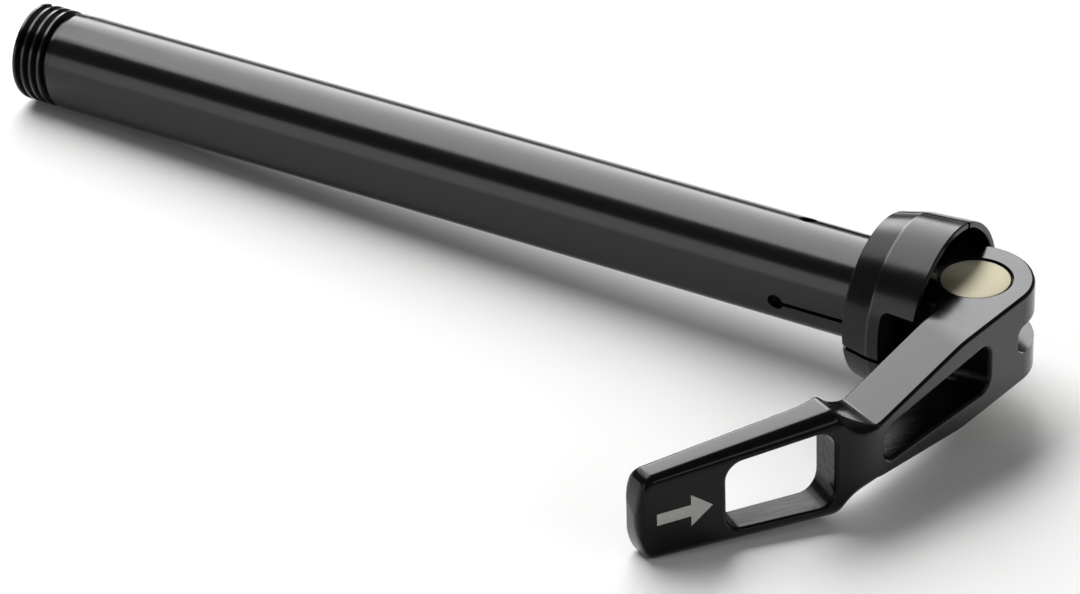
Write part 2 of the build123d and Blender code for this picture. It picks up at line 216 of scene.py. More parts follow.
class FinishColours(bpy.types.PropertyGroup):
    """Colours of the finishes."""

    tube_black: colour("Tube black", "Satin black anodising", "#0B0B0C")
    head_black: colour("Head black", "Bright black anodising on the head", "#0B0B0C")
    lever_black: colour("Lever black", "Bright black anodising on the lever", "#0A0A0B")
    champagne: colour("Champagne", "Champagne anodising on the pin", "#CDC8B2")
    etching: colour("Etching", "Light grey of a laser etched mark", "#B0B0AC")
    steel: colour("Steel", "Plain steel", "#8E8F92")
    aluminium: colour("Aluminium", "Plain turned aluminium", "#C9CBCE")
    acetal: colour("Acetal", "Black acetal", "#141414")
    paper: colour("Paper", "Matt white studio paper", "#FAFAF9")


class StageSettings(bpy.types.PropertyGroup):
    """The camera and the studio light."""

    azimuth: angle("Azimuth", "Camera's angle round the object", 32.324)
    elevation: angle("Elevation", "Camera's angle above the horizon", 32.485)
    roll: angle("Roll", "Camera's roll", -2.107)
    distance: size("Distance", "From the camera to the point it looks at", 703.0)
    look_along: size("Look along", "Where the camera looks along the axle", -56.435)
    look_up: size("Look up", "How far above the axle the camera looks", -15.007)
    lens: number("Lens", "Focal length in millimetres on a 36 mm wide sensor", 159.65)
    key: number("Key", "Radiance of the softboxes behind and above the object", 4.8)
    front: number("Front", "Radiance of the low softbox on the camera's side", 1.6)
    sides: number("Sides", "Radiance of the softboxes at both ends", 2.2)
    fill: number("Fill", "Radiance of the even light from all round", 0.12)


# Shapes


def new_piece(name, mesh):
    """An object at the origin that holds a mesh."""
    piece = bpy.data.objects.new(name, mesh)
    bpy.context.scene.collection.objects.link(piece)
    return piece


def mesh_from(work, name):
    """A mesh from a bmesh, with its faces outward."""
    bmesh.ops.recalc_face_normals(work, faces=work.faces)
    mesh = bpy.data.meshes.new(name)
    work.to_mesh(mesh)
    work.free()
    return mesh


def merge(mesh):
    """Joins a mesh's loose faces at their shared corners and turns them outward."""
    work = bmesh.new()
    work.from_mesh(mesh)
    bmesh.ops.remove_doubles(work, verts=work.verts, dist=MERGE)
    bmesh.ops.recalc_face_normals(work, faces=work.faces)
    work.to_mesh(mesh)
    work.free()


def baked(piece):
    """The piece with its modifiers worked into a plain mesh."""
    graph = bpy.context.evaluated_depsgraph_get()
    mesh = bpy.data.meshes.new_from_object(piece.evaluated_get(graph))
    piece.modifiers.clear()
    piece.data = mesh
    return piece


def regular_outline(radius, count, centre=0):
    """The corners of a regular outline about (centre, 0)."""
    turns = [2 * math.pi * i / count for i in range(count)]
    return [(centre + radius * math.cos(t), radius * math.sin(t)) for t in turns]


def turned(name, profile, facets=ROUND_FACETS):
    """A closed line of (x, radius) points turned about the X axis."""
    work = bmesh.new()
    spokes = regular_outline(1, facets)
    rings = []
    for x, radius in profile:
        if radius < ON_AXIS:
            rings.append([work.verts.new((x, 0, 0))] * facets)
        else:
            rings.append([work.verts.new((x, radius * y, radius * z)) for y, z in spokes])
    for ring, after in zip(rings, rings[1:] + rings[:1]):
        for i in range(facets):
            j = (i + 1) % facets
            corners = list(dict.fromkeys([ring[i], after[i], after[j], ring[j]]))
            if len(corners) > 2:
                work.faces.new(corners)
    return new_piece(name, mesh_from(work, name))


def bridge(work, loops):
    """Faces between each closed loop of corners and the next."""
    for loop, after in zip(loops, loops[1:]):
        for i in range(len(loop)):
            j = (i + 1) % len(loop)
            work.faces.new([loop[i], loop[j], after[j], after[i]])


def prism(name, outline, low, high, place=Matrix()):
    """An outline of (u, v) points run along w from low to high, put in place by a matrix."""
    work = bmesh.new()
    bottom = [work.verts.new(place @ Vector((u, v, low))) for u, v in outline]
    top = [work.verts.new(place @ Vector((u, v, high))) for u, v in outline]
    work.faces.new(bottom)
    work.faces.new(top)
    bridge(work, [bottom, top])
    return new_piece(name, mesh_from(work, name))


def axes(u, v, w, origin=(0, 0, 0)):
    """The matrix that takes (u, v, w) to u, v and w along the given directions from an origin."""
    rows = [(u[i], v[i], w[i], origin[i]) for i in range(3)]
    return Matrix((*rows, (0, 0, 0, 1)))


# u and v across the axle and w along it
UPRIGHT = axes((0, 1, 0), (0, 0, 1), (1, 0, 0))


def cut(piece, cutters):
    """The piece with the cutters taken away, which are then deleted."""
    for cutter in cutters:
        change = piece.modifiers.new("cut", "BOOLEAN")
        change.operation = "DIFFERENCE"
        change.solver = "EXACT"
        change.object = cutter
    baked(piece)
    for cutter in cutters:
        bpy.data.objects.remove(cutter, do_unlink=True)
    return piece


def arc_corner(before, corner, after, radius, steps=ARC_STEPS):
    """(point, outward normal) pairs of a rounded corner of a line whose outside is on its left."""
    arriving, leaving = (corner - before).normalized(), (after - corner).normalized()
    turn = math.atan2(arriving.x * leaving.y - arriving.y * leaving.x, arriving.dot(leaving))
    side = 1 if turn > 0 else -1
    start = corner - arriving * radius * math.tan(abs(turn) / 2)
    centre = start + Vector((-arriving.y, arriving.x)) * radius * side
    made = []
    for step in range(steps + 1):
        arm = (start - centre) @ Matrix.Rotation(-turn * step / steps, 2)
        made.append((centre + arm, arm.normalized() * -side))
    return made


def rounded_loop(corners, radii, steps=ARC_STEPS):
    """(point, outward normal) pairs of a closed clockwise outline with its corners rounded."""
    made = []
    for i, (corner, radius) in enumerate(zip(corners, radii)):
        made += arc_corner(corners[i - 1], corner, corners[(i + 1) % len(corners)], radius, steps)
    return made


def shade_by_angle(piece, degrees):
    """Smooth shading up to an angle, weighted so that flat faces stay flat."""
    piece.data.shade_smooth()
    piece.data.set_sharp_from_angle(angle=math.radians(degrees))
    weigh = piece.modifiers.new("weigh", "WEIGHTED_NORMAL")
    weigh.mode = "FACE_AREA"
    weigh.keep_sharp = True
    return baked(piece)


# How far a face's normal may lean along the turning before it counts as a cut
TURNED_LEAN = 0.06


def shade_turned(piece, axis, centre):
    """Even shading round an axis, with every edge along the profile left crisp."""
    mesh = piece.data
    normals = []
    for face in mesh.polygons:
        arm = face.center - centre
        outward = (arm - axis * arm.dot(axis)).normalized()
        lean = abs(face.normal.dot(axis.cross(outward)))
        along, out = face.normal.dot(axis), face.normal.dot(outward)
        for corner in face.vertices:
            spoke = mesh.vertices[corner].co - centre
            spoke -= axis * spoke.dot(axis)
            # faces of slits and holes lean out of the turned surface and keep their own normal
            if lean > TURNED_LEAN or spoke.length < ON_AXIS:
                normals.append(face.normal.copy())
            else:
                normals.append((axis * along + spoke.normalized() * out).normalized())
    mesh.shade_smooth()
    mesh.normals_split_custom_set(normals)


def smooth_copy(node, name, degrees):
    """A merged, smoothly shaded copy of a CAD node."""
    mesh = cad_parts[node].data.copy()
    mesh.name = name
    merge(mesh)
    mesh.shade_smooth()
    mesh.set_sharp_from_angle(angle=math.radians(degrees))
    return new_piece(name, mesh)


def finish_piece(piece, materials, body, slot, *nodes):
    """Gives a piece its materials and body, and hides the CAD nodes it stands for. The slot is not used."""
    kept = [face.material_index for face in piece.data.polygons]
    piece.data.materials.clear()
    for material in materials:
        piece.data.materials.append(material)
    for face, index in zip(piece.data.polygons, kept):
        face.material_index = min(index, len(materials) - 1)
    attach(piece, body)
    if nodes:
        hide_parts(*nodes)


# Finishes


def add_node(tree, kind, settings=None, **sockets):
    """Adds a node, sets its properties, and sets or links its inputs.

    An input is given by its name with underscores for spaces, or by i and its number.
    """
    node = tree.nodes.new(kind)
    for key, value in (settings or {}).items():
        setattr(node, key, value)
    for key, value in sockets.items():
        by_number = key[0] == "i" and key[1:].isdigit()
        socket = node.inputs[int(key[1:])] if by_number else node.inputs[key.replace("_", " ")]
        if isinstance(value, bpy.types.NodeSocket):
            tree.links.new(value, socket)
        else:
            socket.default_value = value
    return node


def bare_material(name):
    """A material with an empty node tree, and its Object coordinates."""
    material = bpy.data.materials.new(name)
    material.use_nodes = True
    tree = material.node_tree
    tree.nodes.clear()
    return material, tree, add_node(tree, "ShaderNodeTexCoord").outputs["Object"]


def principled(tree, **sockets):
    """The Principled shader with these inputs, and the output."""
    shader = add_node(tree, "ShaderNodeBsdfPrincipled", **sockets)
    add_node(tree, "ShaderNodeOutputMaterial", Surface=shader.outputs["BSDF"])


def uneven(tree, place, grain, low, high, detail=3.0):
    """A value that wanders between low and high over patches of a size in metres."""
    cloud = add_node(tree, "ShaderNodeTexNoise", Vector=place, Scale=1 / grain, Detail=detail)
    spread = add_node(
        tree, "ShaderNodeMapRange", Value=cloud.outputs[0],
        From_Min=0.3, From_Max=0.7, To_Min=low, To_Max=high,
    )
    return spread.outputs[0]


def satin_black_anodised(colours):
    """Turned tube, dyed black: a soft sheen with faint turning lines round it."""
    material, tree, place = bare_material("satin_black_anodised_aluminium")
    # turning lines 0.35 mm apart, stretched round the tube
    lined = add_node(tree, "ShaderNodeMapping", Vector=place, Scale=(1.0, 0.02, 0.02))
    feed = add_node(tree, "ShaderNodeTexNoise", Vector=lined.outputs[0], Scale=1 / (0.35 * MM), Detail=1.0)
    bump = add_node(tree, "ShaderNodeBump", Height=feed.outputs[0], Strength=0.06, Distance=0.01 * MM)
    principled(
        tree, Base_Color=(*colours.tube_black, 1), IOR=1.42,
        Roughness=uneven(tree, place, 6 * MM, 0.16, 0.2), Normal=bump.outputs[0],
    )
    return material


def bright_black_anodised(colours, crease):
    """Head turned fine before dyeing: a black gloss with soft-edged reflections, and a painted highlight
    along the crease.
    """
    material, tree, place = bare_material("bright_black_anodised_aluminium")
    along = add_node(tree, "ShaderNodeSeparateXYZ", Vector=place).outputs["X"]
    past = add_node(tree, "ShaderNodeMath", {"operation": "SUBTRACT"}, i0=along, i1=crease)
    away = add_node(tree, "ShaderNodeMath", {"operation": "ABSOLUTE"}, i0=past.outputs[0])
    # painted highlight: a line 0.5 mm wide where the cone meets the rim's band mirrors more strongly than the
    # rest
    painted_gloss = add_node(
        tree, "ShaderNodeMapRange", Value=away.outputs[0],
        From_Min=0.08 * MM, From_Max=0.25 * MM, To_Min=1.5, To_Max=1.33,
    )
    principled(
        tree, Base_Color=(*colours.head_black, 1), IOR=painted_gloss.outputs[0],
        Roughness=uneven(tree, place, 3 * MM, 0.18, 0.24),
    )
    return material


def polished_black_forging(colours):
    """Forged, tumbled, polished and dyed black: a gloss with a trace of waviness, and a painted reflection
    that grows with the viewing angle.
    """
    material, tree, place = bare_material("polished_black_anodised_forging")
    wave = add_node(tree, "ShaderNodeTexNoise", Vector=place, Scale=1 / (5 * MM), Detail=1.0)
    bump = add_node(tree, "ShaderNodeBump", Height=wave.outputs[0], Strength=0.1, Distance=0.05 * MM)
    # painted reflection: the IOR follows the viewing angle, so faces seen square on mirror little and faces
    # seen aslant, such as the tops, mirror more
    facing = add_node(tree, "ShaderNodeLayerWeight", Blend=0.5).outputs["Facing"]
    painted_gloss = add_node(
        tree, "ShaderNodeMapRange", Value=facing, From_Min=0.2, From_Max=0.46, To_Min=1.23, To_Max=1.43
    )
    principled(
        tree, Base_Color=(*colours.lever_black, 1), IOR=painted_gloss.outputs[0],
        Roughness=uneven(tree, place, 2 * MM, 0.14, 0.2), Normal=bump.outputs[0],
    )
    return material


def black_forging_skin(colours):
    """The windows' walls as they leave the die, dyed black: duller than the polished faces and streaky."""
    material, tree, place = bare_material("black_anodised_forging_skin")
    # streaks that run along the grip, eight times as long as they are wide
    streaks = add_node(
        tree, "ShaderNodeMapping", {"vector_type": "TEXTURE"},
        Vector=place, Rotation=(0, 0, -GRIP_TURN), Scale=(1.0, 8.0, 1.0),
    )
    skin = add_node(tree, "ShaderNodeTexNoise", Vector=streaks.outputs[0], Scale=1 / (1.1 * MM), Detail=2.0)
    bump = add_node(tree, "ShaderNodeBump", Height=skin.outputs[0], Strength=0.5, Distance=0.1 * MM)
    principled(
        tree, Base_Color=(*colours.lever_black, 1), IOR=1.25,
        Roughness=uneven(tree, streaks.outputs[0], 1.1 * MM, 0.2, 0.34), Normal=bump.outputs[0],
    )
    return material


def champagne_anodised(colours, pivot):
    """Faced on a lathe and dyed champagne: fine rings round the pin's axis."""
    material, tree, place = bare_material("champagne_anodised_turned_aluminium")
    centred = add_node(tree, "ShaderNodeMapping", Vector=place, Location=(-pivot, 0, 0))
    # facing rings 0.3 mm apart: the wave repeats every 0.314 / Scale
    rings = add_node(
        tree, "ShaderNodeTexWave", {"wave_type": "RINGS", "rings_direction": "Z"},
        Vector=centred.outputs[0], Scale=0.314 / (0.3 * MM), Distortion=0.5, Detail=1.0,
    )
    rough = add_node(tree, "ShaderNodeMapRange", Value=rings.outputs["Fac"], To_Min=0.68, To_Max=0.74)
    bump = add_node(tree, "ShaderNodeBump", Height=rings.outputs["Fac"], Strength=0.04, Distance=0.01 * MM)
    principled(
        tree, Base_Color=(*colours.champagne, 1), Metallic=1.0,
        Roughness=rough.outputs[0], Normal=bump.outputs[0],
    )
    return material


def laser_etched(colours):
    """The dye burnt away by a laser: dull light grey with a fine grain."""
    material, tree, place = bare_material("laser_etched_anodising")
    grain = uneven(tree, place, 0.15 * MM, 0.0, 1.0)
    tone = add_node(tree, "ShaderNodeMix", {"data_type": "RGBA"}, i0=grain)
    tone.inputs[6].default_value = (*(c * 0.8 for c in colours.etching), 1)
    tone.inputs[7].default_value = (*colours.etching, 1)
    principled(tree, Base_Color=tone.outputs[2], Roughness=0.6)
    return material


def machined(name, rgb, metallic, roughness, grain):
    """A bare machined surface whose sheen varies with a grain of a size in metres."""
    material, tree, place = bare_material(name)
    principled(
        tree, Base_Color=(*rgb, 1), Metallic=metallic,
        Roughness=uneven(tree, place, grain, roughness * 0.8, roughness * 1.2),
    )
    return material


def studio_paper(colours):
    """Seamless matt white paper with a trace of tooth."""
    material, tree, place = bare_material("white_studio_paper")
    principled(
        tree, Base_Color=(*colours.paper, 1), IOR=1.1,
        Roughness=uneven(tree, place, 2 * MM, 0.85, 0.95),
    )
    return material


# The axle


def head_radius(sizes, x):
    """Outer radius of the head at a place along it."""
    if x <= sizes.cone_length:
        return sizes.seat_radius + (sizes.cone_radius - sizes.seat_radius) * x / sizes.cone_length
    share = (x - sizes.cone_length) / (sizes.head_length - sizes.cone_length)
    return sizes.cone_radius + (sizes.rim_radius - sizes.cone_radius) * share


def axle_profile(sizes):
    """The axle's section as (x, radius) points, with its edges broken by shares of the softness."""
    end = -sizes.tube_length
    thread_inner = end + sizes.thread_length
    relief_end = thread_inner + sizes.relief_length
    relief_radius = sizes.tube_radius - sizes.relief_depth
    soft = sizes.edge_softness
    rim = sizes.head_length
    wall_at_floor = head_radius(sizes, sizes.cup_floor) - sizes.cup_wall
    rim_inner = sizes.rim_radius - sizes.cup_wall
    outside = [
        (end, sizes.bore_radius + sizes.mouth_chamfer),
        (end, sizes.core_radius - sizes.end_chamfer),
        (end + sizes.end_chamfer, sizes.core_radius),
        (thread_inner, sizes.core_radius),
        (thread_inner, relief_radius - soft),
        (thread_inner + soft, relief_radius),
        (relief_end, relief_radius),
        (relief_end + sizes.relief_depth, sizes.tube_radius),
        (0, sizes.tube_radius),
        (0, sizes.seat_radius - 2 * soft),
        (soft * 0.6, sizes.seat_radius - 0.6 * soft),
        (soft * 2, head_radius(sizes, 2 * soft)),
        (sizes.cone_length, sizes.cone_radius),
        (rim - soft * 1.5, head_radius(sizes, rim - soft * 1.5)),
        (rim - soft * 0.4, sizes.rim_radius - soft * 0.5),
        (rim, sizes.rim_radius - soft * 1.5),
    ]
    inside = [
        (rim, rim_inner + soft),
        (rim - soft, rim_inner),
        (sizes.cone_length, sizes.cone_radius - sizes.cup_wall),
        (sizes.cup_floor + sizes.floor_corner, wall_at_floor),
        (sizes.cup_floor + sizes.floor_corner * 0.3, wall_at_floor - sizes.floor_corner * 0.3),
        (sizes.cup_floor, wall_at_floor - sizes.floor_corner),
        (sizes.cup_floor, sizes.rod_hole_radius),
        (sizes.cone_seat_end, sizes.rod_hole_radius),
        (sizes.cone_seat_start, sizes.bore_radius),
        (end + sizes.mouth_chamfer, sizes.bore_radius),
    ]
    return outside + inside


def axle_cutters(sizes):
    """The saw slits with their end holes, and the drive slot."""
    past = sizes.rim_radius * CLEAR
    top = sizes.head_length * CLEAR
    # u lies along the axle, v across the cut and w outwards
    from_axis = axes((1, 0, 0), (0, 0, 1), (0, 1, 0))
    half = sizes.slit_width / 2
    slit = [(-sizes.slit_length, -half), (top, -half), (top, half), (-sizes.slit_length, half)]
    hole = regular_outline(sizes.slit_hole_radius, SLIT_HOLE_FACETS, -sizes.slit_length)
    cutters = []
    for index in range(3):
        place = Matrix.Rotation(sizes.slit_angle + 2 * math.pi / 3 * index, 4, "X") @ from_axis
        cutters.append(prism(f"slit_cutter_{index}", slit, 0, past, place))
        cutters.append(prism(f"slit_hole_cutter_{index}", hole, 0, past, place))
    half, floor, corner = sizes.slot_width / 2, sizes.slot_floor, sizes.slot_corner
    corners = [Vector(p) for p in ((floor, -half), (floor, half), (top, half), (top, -half))]
    slot = [tuple(point) for point, _ in rounded_loop(corners, [corner, corner, corner / 10, corner / 10])]
    place = Matrix.Rotation(sizes.slit_angle, 4, "X") @ from_axis
    cutters.append(prism("drive_slot_cutter", slot, 0, past, place))
    return cutters


class THRU_AXLE_OT_axle(bpy.types.Operator):
    """Makes the turned axle with its slit head"""

    bl_idname = "thru_axle.axle"
    bl_label = "Axle"

    def execute(self, context):
        sizes, colours = context.scene.axle_sizes, context.scene.finish_colours
        axle = cut(turned("anodised_axle", axle_profile(sizes)), axle_cutters(sizes))
        shade_turned(axle, Vector((1, 0, 0)), Vector((0, 0, 0)))
        for face in axle.data.polygons:
            face.material_index = 1 if face.center.x > -ON_AXIS else 0
        finishes = [satin_black_anodised(colours), bright_black_anodised(colours, sizes.cone_length)]
        finish_piece(axle, finishes, "axle", "anodised_black", "axle")
        return {"FINISHED"}


def ridge_tree():
    """Geometry nodes that wind a ridge round the Z axis, right-handed."""
    tree = bpy.data.node_groups.new("screw_ridge", "GeometryNodeTree")
    tree.interface.new_socket("Geometry", in_out="OUTPUT", socket_type="NodeSocketGeometry")
    for name in ("Pitch", "Core Radius", "Crest Radius", "Root Width", "Crest Width", "Length"):
        tree.interface.new_socket(name, in_out="INPUT", socket_type="NodeSocketFloat")
    tree.interface.new_socket("Finish", in_out="INPUT", socket_type="NodeSocketMaterial")
    given = tree.nodes.new("NodeGroupInput").outputs
    math_node, crest, core = "ShaderNodeMath", given["Crest Radius"], given["Core Radius"]
    turns = add_node(tree, math_node, {"operation": "DIVIDE"}, i0=given["Length"], i1=given["Pitch"])
    height = add_node(tree, math_node, {"operation": "SUBTRACT"}, i0=crest, i1=core)
    both = add_node(tree, math_node, {"operation": "ADD"}, i0=crest, i1=core)
    middle = add_node(tree, math_node, {"operation": "MULTIPLY"}, i0=both.outputs[0], i1=0.5)
    helix = add_node(
        tree, "GeometryNodeCurveSpiral",
        Resolution=THREAD_FACETS, Rotations=turns.outputs[0], Start_Radius=middle.outputs[0],
        End_Radius=middle.outputs[0], Height=given["Length"], Reverse=True,
    )
    upright = add_node(tree, "GeometryNodeSetCurveNormal", {"mode": "Z_UP"}, Curve=helix.outputs[0])
    section = add_node(
        tree, "GeometryNodeCurvePrimitiveQuadrilateral", {"mode": "TRAPEZOID"},
        Height=height.outputs[0], Bottom_Width=given["Root Width"],
        Top_Width=given["Crest Width"], Offset=0.0,
    )
    # the section's height is turned to point away from the axis
    stood = add_node(
        tree, "GeometryNodeTransform", Geometry=section.outputs[0], Rotation=(0, 0, -math.pi / 2)
    )
    ridge = add_node(
        tree, "GeometryNodeCurveToMesh",
        Curve=upright.outputs[0], Profile_Curve=stood.outputs[0], Fill_Caps=True,
    )
    real = add_node(tree, "GeometryNodeRealizeInstances", Geometry=ridge.outputs[0])
    dressed = add_node(tree, "GeometryNodeSetMaterial", Geometry=real.outputs[0], Material=given["Finish"])
    add_node(tree, "NodeGroupOutput", Geometry=dressed.outputs[0])
    return tree


def wound_ridge(name, values, place):
    """A ridge from the tree with these input values, as a plain mesh put in place by a matrix."""
    tree = bpy.data.node_groups.get("screw_ridge") or ridge_tree()
    ridge = new_piece(name, bpy.data.meshes.new(name))
    wind = ridge.modifiers.new("wind", "NODES")
    wind.node_group = tree
    for item in tree.interface.items_tree:
        if item.in_out == "INPUT" and item.name in values:
            wind[item.identifier] = values[item.name]
    baked(ridge)
    ridge.data.transform(place)
    merge(ridge.data)
    return ridge


# How far the ridge's foot is sunk into the core
RIDGE_SINK = 0.03 * MM


class THRU_AXLE_OT_thread(bpy.types.Operator):
    """Winds the screw ridge on the axle's end"""

    bl_idname = "thru_axle.thread"
    bl_label = "Thread"

    def execute(self, context):
        sizes, core = context.scene.thread_sizes, context.scene.axle_sizes.core_radius
        finish = bpy.data.materials["satin_black_anodised_aluminium"]
        values = {
            "Pitch": sizes.pitch,
            "Core Radius": core - RIDGE_SINK,
            "Crest Radius": sizes.crest_radius,
            "Root Width": sizes.root_width,
            "Crest Width": sizes.crest_width,
            "Length": sizes.length,
            "Finish": finish,
        }
        along_axle = Matrix.Rotation(sizes.start_angle, 4, "X") @ Matrix.Rotation(math.pi / 2, 4, "Y")
        along_axle = Matrix.Translation((sizes.start, 0, 0)) @ along_axle
        ridge = wound_ridge("thread_ridge", values, along_axle)
        shade_by_angle(ridge, degrees=25)
        finish_piece(ridge, [finish], "axle", "anodised_black")
        return {"FINISHED"}


# The lever's outline seen along the pin: corners in millimetres from the pin's axis, and radii
OUTER_KNEE = (3.36, -37.3)
OUTER_KNEE_RADIUS = 12.8
OUTER_TIP = (-16.4, -65.85)
TIP_THICKNESS = 4.2
TIP_CORNER_RADIUS = 1.2
INNER_KNEE = (-4.9, -39.7)
INNER_KNEE_RADIUS = 12.0
CROTCH = (-1.05, -8.7)
CROTCH_RADIUS = 1.2
HEEL = (-9.5, -6.2)
HEEL_RADIUS = 3.5

# Half heights in millimetres at places along the direction in which the valley is cut. The grip's are
# up to 0.7 mm more than the solid's, which makes up for its rounded edges.
VALLEY_TURN = math.radians(27.0)
CHEEK_HALF = 7.0
TAPER_START = 11.5
TAPER_RADIUS = 20.0
NECK = (30.1, 4.35)
VALLEY_MIDDLE = (33.2, 5.7)
SHOULDER = (36.2, 8.4)
SHOULDER_RADIUS = 1.8
TIP_CORNER = (64.3, 6.6)
TIP_BULGE = 1.8
TIP_ROUND = 1.9

# Places in millimetres, as above, between which the rounding of the edges changes
SOFT_EDGES = (34.0, 39.0)
TIP_EDGES = (57.0, 62.0)
KNEE_RISE, KNEE_FALL = (29.0, 34.5), (35.5, 41.0)
EXTRA_PLACES = (38.0, 39.0, 45.0, 52.0, 57.0, 58.0, 59.0, 60.0, 61.0, 62.0)
# The share of a normal along the grip's outer face at which an edge counts as outer all the way
OUTER_SHARE = 0.6

# Windows in millimetres: along the lever, then half heights
ARM_WINDOW = ((9.3, 3.7), (34.0, 2.6))
ARM_WINDOW_ROUND = 2.0
GRIP_TURN = math.radians(34.6)
GRIP_WINDOW = ((5.3, 6.15), (21.5, 5.25))
GRIP_WINDOW_ROUND = 2.6
# Rounding inside the arm's window, as a share of the rounding outside
ARM_INNER_SHARE = 0.4
# From a window's along, height and depth to the lever
ARM_PLACE = axes((0, -1, 0), (0, 0, 1), (-1, 0, 0))
GRIP_PLACE = axes(
    (-math.sin(GRIP_TURN), -math.cos(GRIP_TURN), 0), (0, 0, 1),
    (-math.cos(GRIP_TURN), math.sin(GRIP_TURN), 0), (OUTER_KNEE[0] * MM, OUTER_KNEE[1] * MM, 0),
)
# Faces whose normal has more than this share along the depth are the lever's sides, the rest its walls
FACE_SHARE = 0.35
# How far past a window's outline its depths are noted and its walls are looked for, in millimetres
DEPTH_MARGIN = 3
WALL_MARGIN = 0.3


def cam_point(sizes, opened):
    """A point of the cam, whose distance to the seat falls evenly with the angle."""
    fall = sizes.cam_lift / sizes.open_angle
    reach = sizes.cam_radius - fall * opened
    across = -reach * math.cos(opened) - fall * math.sin(opened)
    return Vector((across, reach * math.sin(opened) - fall * math.cos(opened)))


def lever_plan(sizes):
    """The lever seen along the pin, clockwise, as (point, outward normal) pairs from the pin's axis."""
    plan = []
    for step in range(CAM_STEPS):
        opened = sizes.open_angle * step / CAM_STEPS
        plan.append((cam_point(sizes, opened), Vector((-math.cos(opened), math.sin(opened)))))
    cam_end, knee = cam_point(sizes, sizes.open_angle), Vector(OUTER_KNEE) * MM
    boss = cam_end.length
    first = math.atan2(cam_end.y, cam_end.x)
    last = math.atan2(knee.y, knee.x) + math.pi / 2 - math.asin(boss / knee.length)
    for step in range(CAM_STEPS + 1):
        turn = first + (last - first) * step / CAM_STEPS
        spoke = Vector((math.cos(turn), math.sin(turn)))
        plan.append((spoke * boss, spoke))
    outer_tip = Vector(OUTER_TIP) * MM
    run = (outer_tip - knee).normalized()
    inner_tip = outer_tip + Vector((run.y, -run.x)) * TIP_THICKNESS * MM
    line = [plan[-1][0], knee, outer_tip, inner_tip]
    line += [Vector(corner) * MM for corner in (INNER_KNEE, CROTCH, HEEL)] + [plan[0][0]]
    radii = (
        OUTER_KNEE_RADIUS, TIP_CORNER_RADIUS, TIP_CORNER_RADIUS, INNER_KNEE_RADIUS, CROTCH_RADIUS, HEEL_RADIUS
    )
    for i, radius in enumerate(radii):
        plan += arc_corner(line[i], line[i + 1], line[i + 2], radius * MM)
    return plan


def circle_through(a, b, c):
    """Centre and radius of the circle through three points."""
    ab, ac = b - a, c - a
    cross = 2 * (ab.x * ac.y - ab.y * ac.x)
    ux = (ac.y * ab.length_squared - ab.y * ac.length_squared) / cross
    uy = (ab.x * ac.length_squared - ac.x * ab.length_squared) / cross
    return a + Vector((ux, uy)), Vector((ux, uy)).length


def arc_points(centre, start, end, steps):
    """Points of the shorter arc about a centre, from start to end."""
    first, last = start - centre, end - centre
    turn = math.atan2(first.x * last.y - first.y * last.x, first.dot(last))
    return [centre + first @ Matrix.Rotation(-turn * i / steps, 2) for i in range(steps + 1)]


def line_arc_fillet(corner, along, centre, reach, radius):
    """Centre of the fillet between a line and an arc that meet in a corner, and its two ends.

    The fillet lies below the line. reach is the distance between the arc's and the fillet's centres.
    """
    below = Vector((along.y, -along.x)) * radius
    if below.y > 0:
        below = -below
    start = corner + below - centre
    half = start.dot(along)
    root = math.sqrt(max(half * half - start.length_squared + reach * reach, 0))
    shift = min((-half + root, -half - root), key=abs)
    middle = corner + below + along * shift
    return middle, middle - below


def half_heights():
    """(place, half height) pairs of the lever's side outline from the fork to the tip, in metres."""
    taper = arc_corner(
        Vector((-20, CHEEK_HALF)), Vector((TAPER_START, CHEEK_HALF)), Vector(NECK), TAPER_RADIUS,
        TAPER_STEPS,
    )
    shoulder, tip = Vector(SHOULDER), Vector(TIP_CORNER)
    along = (tip - shoulder).normalized()
    valley_centre, valley_radius = circle_through(Vector(NECK), Vector(VALLEY_MIDDLE), shoulder)
    middle, on_grip = line_arc_fillet(
        shoulder, along, valley_centre, valley_radius + SHOULDER_RADIUS, SHOULDER_RADIUS
    )
    on_valley = valley_centre + (middle - valley_centre).normalized() * valley_radius
    bulge = Vector((tip.x + TIP_BULGE, 0))
    tip_centre, tip_radius = circle_through(tip, bulge, Vector((tip.x, -tip.y)))
    end_middle, end_on_grip = line_arc_fillet(tip, along, tip_centre, tip_radius - TIP_ROUND, TIP_ROUND)
    on_tip = tip_centre + (end_middle - tip_centre).normalized() * tip_radius
    line = [Vector((-20, CHEEK_HALF))] + [point for point, _ in taper]
    line += arc_points(valley_centre, Vector(NECK), on_valley, ARC_STEPS)
    line += arc_points(middle, on_valley, on_grip, SHORT_ARC_STEPS)[1:]
    line += arc_points(end_middle, end_on_grip, on_tip, SHORT_ARC_STEPS)
    line += arc_points(tip_centre, on_tip, bulge, TIP_STEPS)[1:]
    return [(point.x * MM, point.y * MM) for point in line]


def along_table(table, place):
    """The value of a table of (place, value) pairs at a place, straight between its entries."""
    index = bisect.bisect_left(table, (place,))
    if index == 0:
        return table[0][1]
    if index == len(table):
        return table[-1][1]
    (before, low), (after, high) = table[index - 1], table[index]
    return low + (high - low) * (place - before) / max(after - before, MM / 1e6)


def ramp(value, start, end):
    """0 before start, 1 after end, and smooth between them."""
    share = min(max((value - start) / (end - start), 0), 1)
    return share * share * (3 - 2 * share)


def valley_place(point):
    """The place of a point along the direction in which the valley is cut."""
    return -(math.sin(VALLEY_TURN) * point.x + math.cos(VALLEY_TURN) * point.y)


